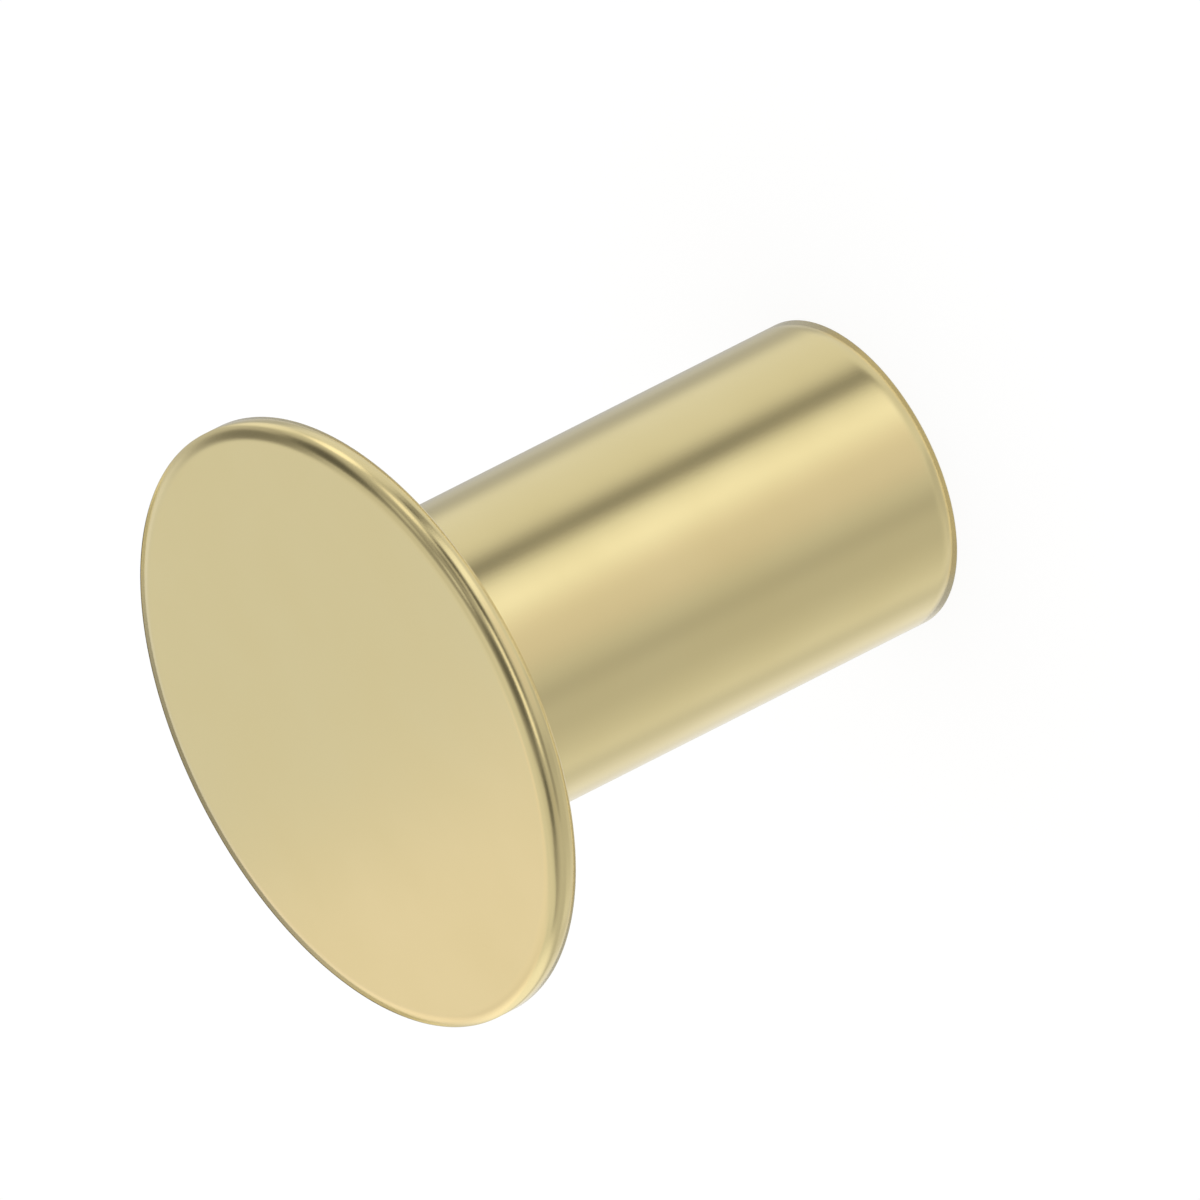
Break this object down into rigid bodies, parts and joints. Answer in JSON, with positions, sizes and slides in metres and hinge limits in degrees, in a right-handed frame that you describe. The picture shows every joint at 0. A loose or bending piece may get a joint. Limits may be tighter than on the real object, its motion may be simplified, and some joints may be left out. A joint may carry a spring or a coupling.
{
  "type": "tubular rivet",
  "caption": "Full tubular rivet with a thin flat head and a plain shank, drilled from the tail so that its end rolls over and clamps thin parts together.",
  "frame": {"origin": "centre of the open tail end's face, on the rivet's axis; the rivet stands on that end", "axes": "+Z along the rivet's axis, from the open tail end towards the head; X and Y are any two directions square to it, because the rivet is round"},
  "size_m": [0.008, 0.008, 0.008],
  "materials": {
    "brass": "satin, clean"
  },
  "bodies": {
    "root": {"tubular_rivet": "brass"}
  },
  "joints": []
}
